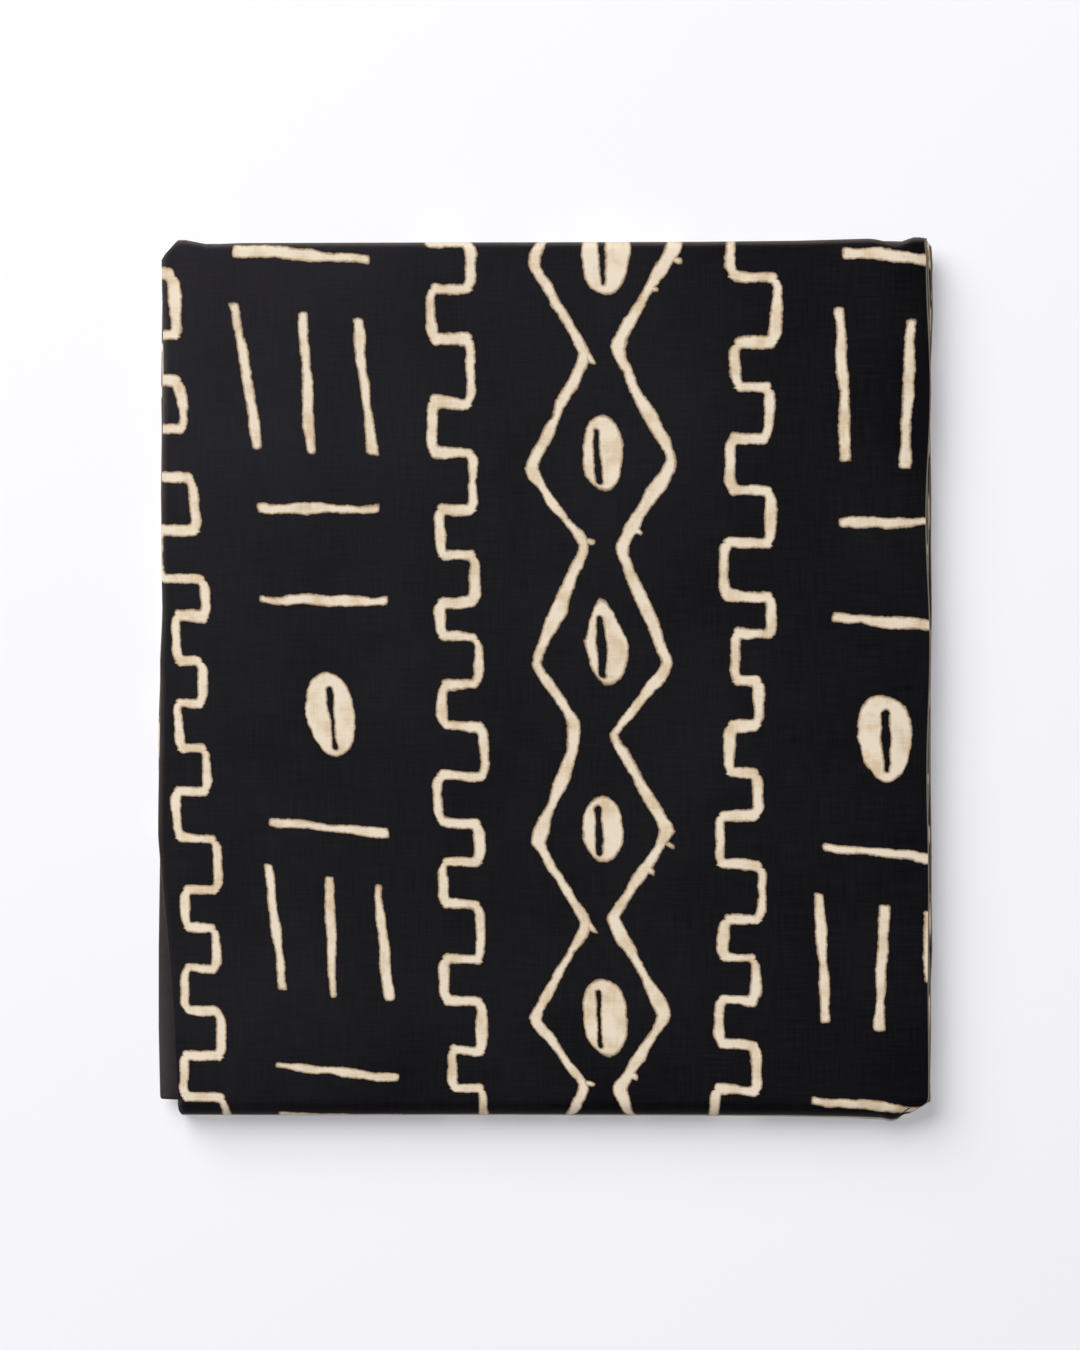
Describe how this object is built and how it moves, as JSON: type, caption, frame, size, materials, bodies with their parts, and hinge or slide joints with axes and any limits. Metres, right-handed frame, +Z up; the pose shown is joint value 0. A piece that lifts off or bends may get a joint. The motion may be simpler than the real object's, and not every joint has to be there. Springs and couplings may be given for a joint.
{
  "type": "folded ankara fabric",
  "caption": "Length of printed ankara cotton folded back and forth into a flat rectangular bundle, as sold or stored on a shelf.",
  "frame": {"origin": "on the surface the cloth lies on, under the middle of the bundle", "axes": "+X towards the bundle's right side edge, +Y towards its back folds, +Z up, square to the layers"},
  "size_m": [0.2899, 0.3292, 0.0134],
  "materials": {
    "printed_cotton": "matt plain-woven cotton, near-black with cream hand-drawn strokes"
  },
  "bodies": {
    "root": {"folded_cloth": "printed_cotton"}
  },
  "joints": []
}
